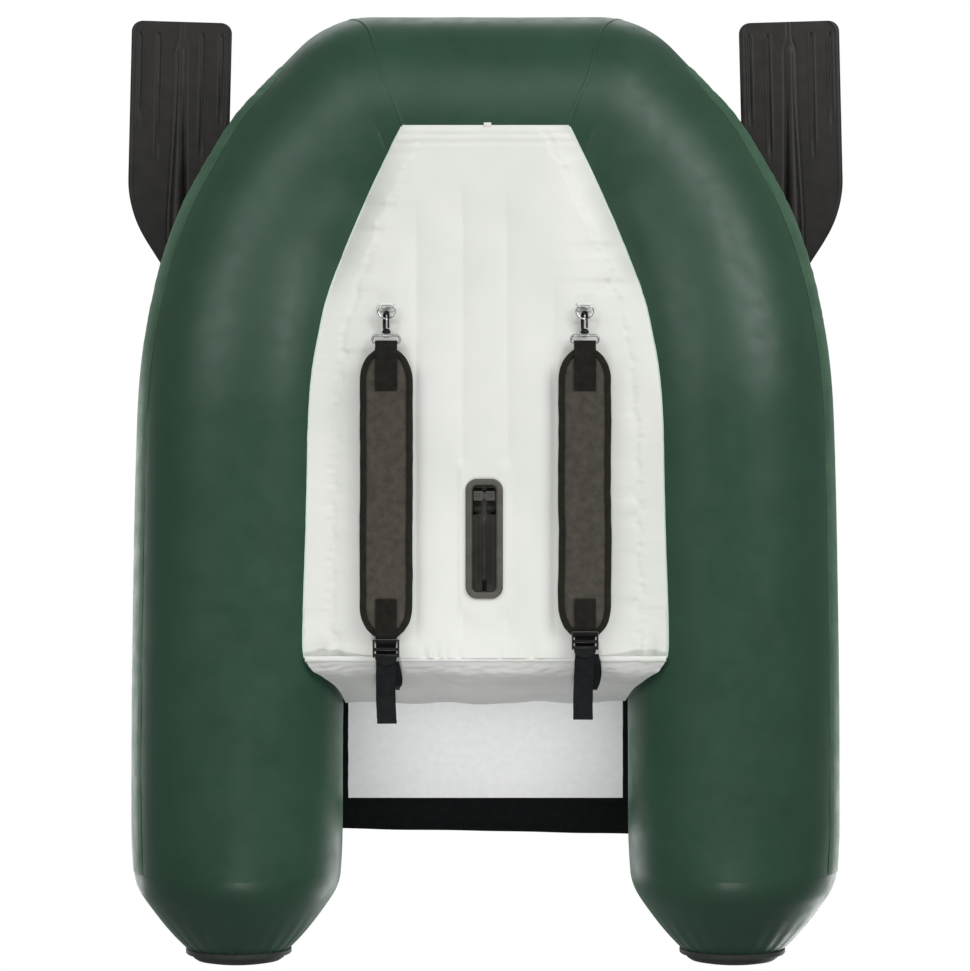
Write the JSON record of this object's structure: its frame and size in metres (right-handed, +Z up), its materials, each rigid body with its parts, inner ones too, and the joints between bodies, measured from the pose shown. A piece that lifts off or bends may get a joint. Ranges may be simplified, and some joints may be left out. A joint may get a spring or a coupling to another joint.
{
  "type": "inflatable float tube with oars",
  "caption": "U-shaped inflatable float tube with an air floor, seat and backrest, carrying straps under the floor, an apron and two stowed oars.",
  "frame": {"origin": "on the surface the side tubes rest on, under the middle of the whole boat, oars included", "axes": "+Z up, +Y towards the closed bow, +X to starboard"},
  "size_m": [1.176, 1.525, 0.6229],
  "materials": {
    "hull_pvc": "satin coated fabric",
    "white_pvc": "satin coated fabric",
    "grey_pvc": "satin coated fabric",
    "cap_rubber": "moulded, matte",
    "fin_plastic": "moulded, matte",
    "chrome_wire": "polished",
    "black_zinc": "semi-gloss",
    "pad_cloth": "woven",
    "black_webbing": "woven",
    "black_plastic": "moulded",
    "cushion_pvc": "satin coated fabric",
    "oar_aluminium": "satin anodised",
    "blade_plastic": "moulded",
    "button_steel": "brushed"
  },
  "bodies": {
    "hull": {"bow_tube": "hull_pvc", "air_floor": "white_pvc", "rear_flap": "grey_pvc", "fin_box": "fin_plastic", "seat_cushion": "cushion_pvc", "bow_handle": "black_webbing", "starboard_quarter_tube": "hull_pvc", "starboard_side_tube": "hull_pvc", "starboard_stern_cone": "hull_pvc", "starboard_end_cap": "cap_rubber", "starboard_ring_patch": "white_pvc", "starboard_swivel_loop": "chrome_wire", "starboard_shoulder_pad": "pad_cloth", "starboard_upper_webbing": "black_webbing", "starboard_lower_webbing": "black_webbing", "starboard_ladder_buckle": "black_plastic", "starboard_strap_tail": "black_webbing", "starboard_anchor_strap": "black_webbing", "starboard_oarlock_base": "cap_rubber", "starboard_valve_base": "black_plastic", "port_quarter_tube": "hull_pvc", "port_side_tube": "hull_pvc", "port_stern_cone": "hull_pvc", "port_end_cap": "cap_rubber", "port_ring_patch": "white_pvc", "port_swivel_loop": "chrome_wire", "port_shoulder_pad": "pad_cloth", "port_upper_webbing": "black_webbing", "port_lower_webbing": "black_webbing", "port_ladder_buckle": "black_plastic", "port_strap_tail": "black_webbing", "port_anchor_strap": "black_webbing", "port_oarlock_base": "cap_rubber", "port_valve_base": "black_plastic"},
    "backrest": {"backrest": "cushion_pvc"},
    "apron": {"apron_panel": "white_pvc", "apron_bar": "black_webbing"},
    "fin_lock": {"fin_lock_slider": "black_plastic"},
    "starboard_oarlock": {"starboard_oarlock_fork": "black_plastic"},
    "starboard_collar": {"starboard_oar_collar": "black_plastic"},
    "starboard_oar": {"starboard_oar_shaft": "oar_aluminium", "starboard_oar_blade": "blade_plastic", "starboard_oar_grip": "cap_rubber"},
    "starboard_button": {"starboard_oar_button": "button_steel"},
    "starboard_ring": {"starboard_d_ring": "chrome_wire"},
    "starboard_hook": {"starboard_snap_hook": "black_zinc"},
    "starboard_gate": {"starboard_snap_gate": "black_zinc"},
    "starboard_cap": {"starboard_valve_cap": "black_plastic"},
    "port_oarlock": {"port_oarlock_fork": "black_plastic"},
    "port_collar": {"port_oar_collar": "black_plastic"},
    "port_oar": {"port_oar_shaft": "oar_aluminium", "port_oar_blade": "blade_plastic", "port_oar_grip": "cap_rubber"},
    "port_button": {"port_oar_button": "button_steel"},
    "port_ring": {"port_d_ring": "chrome_wire"},
    "port_hook": {"port_snap_hook": "black_zinc"},
    "port_gate": {"port_snap_gate": "black_zinc"},
    "port_cap": {"port_valve_cap": "black_plastic"}
  },
  "joints": [
    {"name": "starboard_oar_swing", "type": "hinge", "parent": "hull", "child": "starboard_oarlock", "pos_m": [0.505, -0.165, 0.372], "axis": [-0.2924, 0, -0.9563], "range_deg": [0, 120]},
    {"name": "starboard_oar_lift", "type": "hinge", "parent": "starboard_oarlock", "child": "starboard_collar", "pos_m": [0.505, -0.165, 0.372], "axis": [0.9563, 0, -0.2924], "range_deg": [0, 4]},
    {"name": "starboard_oar_feather", "type": "hinge", "parent": "starboard_collar", "child": "starboard_oar", "pos_m": [0.505, -0.165, 0.372], "axis": [0, 1, 0], "range_deg": [-90, 90]},
    {"name": "starboard_button_press", "type": "slide", "parent": "starboard_oar", "child": "starboard_button", "axis": [0, 0, -1], "range_m": [0, 0.003], "stiffness_N_per_m": 300, "springref_m": -0.002},
    {"name": "starboard_ring_tilt", "type": "hinge", "parent": "hull", "child": "starboard_ring", "pos_m": [0.153, 0.2728, 0.028], "axis": [1, 0, 0], "range_deg": [0, 4]},
    {"name": "starboard_hook_swivel", "type": "hinge", "parent": "hull", "child": "starboard_hook", "pos_m": [0.153, 0.2345, 0.028], "axis": [0, 1, 0], "range_deg": [-12, 12]},
    {"name": "starboard_gate_open", "type": "hinge", "parent": "starboard_hook", "child": "starboard_gate", "pos_m": [0.14965, 0.2395, 0.0222], "axis": [0.866, 0, -0.5], "range_deg": [0, 14], "stiffness_Nm_per_rad": 0.002, "springref_deg": -17.19},
    {"name": "starboard_valve_cap_open", "type": "hinge", "parent": "hull", "child": "starboard_cap", "pos_m": [0.2966, -0.01, 0.32169], "axis": [0.866, 0, 0.5], "range_deg": [0, 115]},
    {"name": "port_oar_swing", "type": "hinge", "parent": "hull", "child": "port_oarlock", "pos_m": [-0.505, -0.165, 0.372], "axis": [-0.2924, 0, 0.9563], "range_deg": [0, 120]},
    {"name": "port_oar_lift", "type": "hinge", "parent": "port_oarlock", "child": "port_collar", "pos_m": [-0.505, -0.165, 0.372], "axis": [0.9563, 0, 0.2924], "range_deg": [0, 4]},
    {"name": "port_oar_feather", "type": "hinge", "parent": "port_collar", "child": "port_oar", "pos_m": [-0.505, -0.165, 0.372], "axis": [0, 1, 0], "range_deg": [-90, 90]},
    {"name": "port_button_press", "type": "slide", "parent": "port_oar", "child": "port_button", "axis": [0, 0, -1], "range_m": [0, 0.003], "stiffness_N_per_m": 300, "springref_m": -0.002},
    {"name": "port_ring_tilt", "type": "hinge", "parent": "hull", "child": "port_ring", "pos_m": [-0.153, 0.2728, 0.028], "axis": [1, 0, 0], "range_deg": [0, 4]},
    {"name": "port_hook_swivel", "type": "hinge", "parent": "hull", "child": "port_hook", "pos_m": [-0.153, 0.2345, 0.028], "axis": [0, 1, 0], "range_deg": [-12, 12]},
    {"name": "port_gate_open", "type": "hinge", "parent": "port_hook", "child": "port_gate", "pos_m": [-0.15635, 0.2395, 0.0222], "axis": [0.866, 0, -0.5], "range_deg": [0, 14], "stiffness_Nm_per_rad": 0.002, "springref_deg": -17.19},
    {"name": "port_valve_cap_open", "type": "hinge", "parent": "hull", "child": "port_cap", "pos_m": [-0.2966, -0.01, 0.32169], "axis": [0.866, 0, -0.5], "range_deg": [0, 115]},
    {"name": "backrest_fold", "type": "hinge", "parent": "hull", "child": "backrest", "pos_m": [0, 0.076, 0.2745], "axis": [-1, 0, 0], "range_deg": [-95, 0]},
    {"name": "apron_swing", "type": "hinge", "parent": "hull", "child": "apron", "pos_m": [-0.32, -0.44, 0.338], "axis": [0, -1, 0], "range_deg": [0, 110]},
    {"name": "fin_lock_slide", "type": "slide", "parent": "hull", "child": "fin_lock", "axis": [0, -1, 0], "range_m": [0, 0.012]}
  ]
}
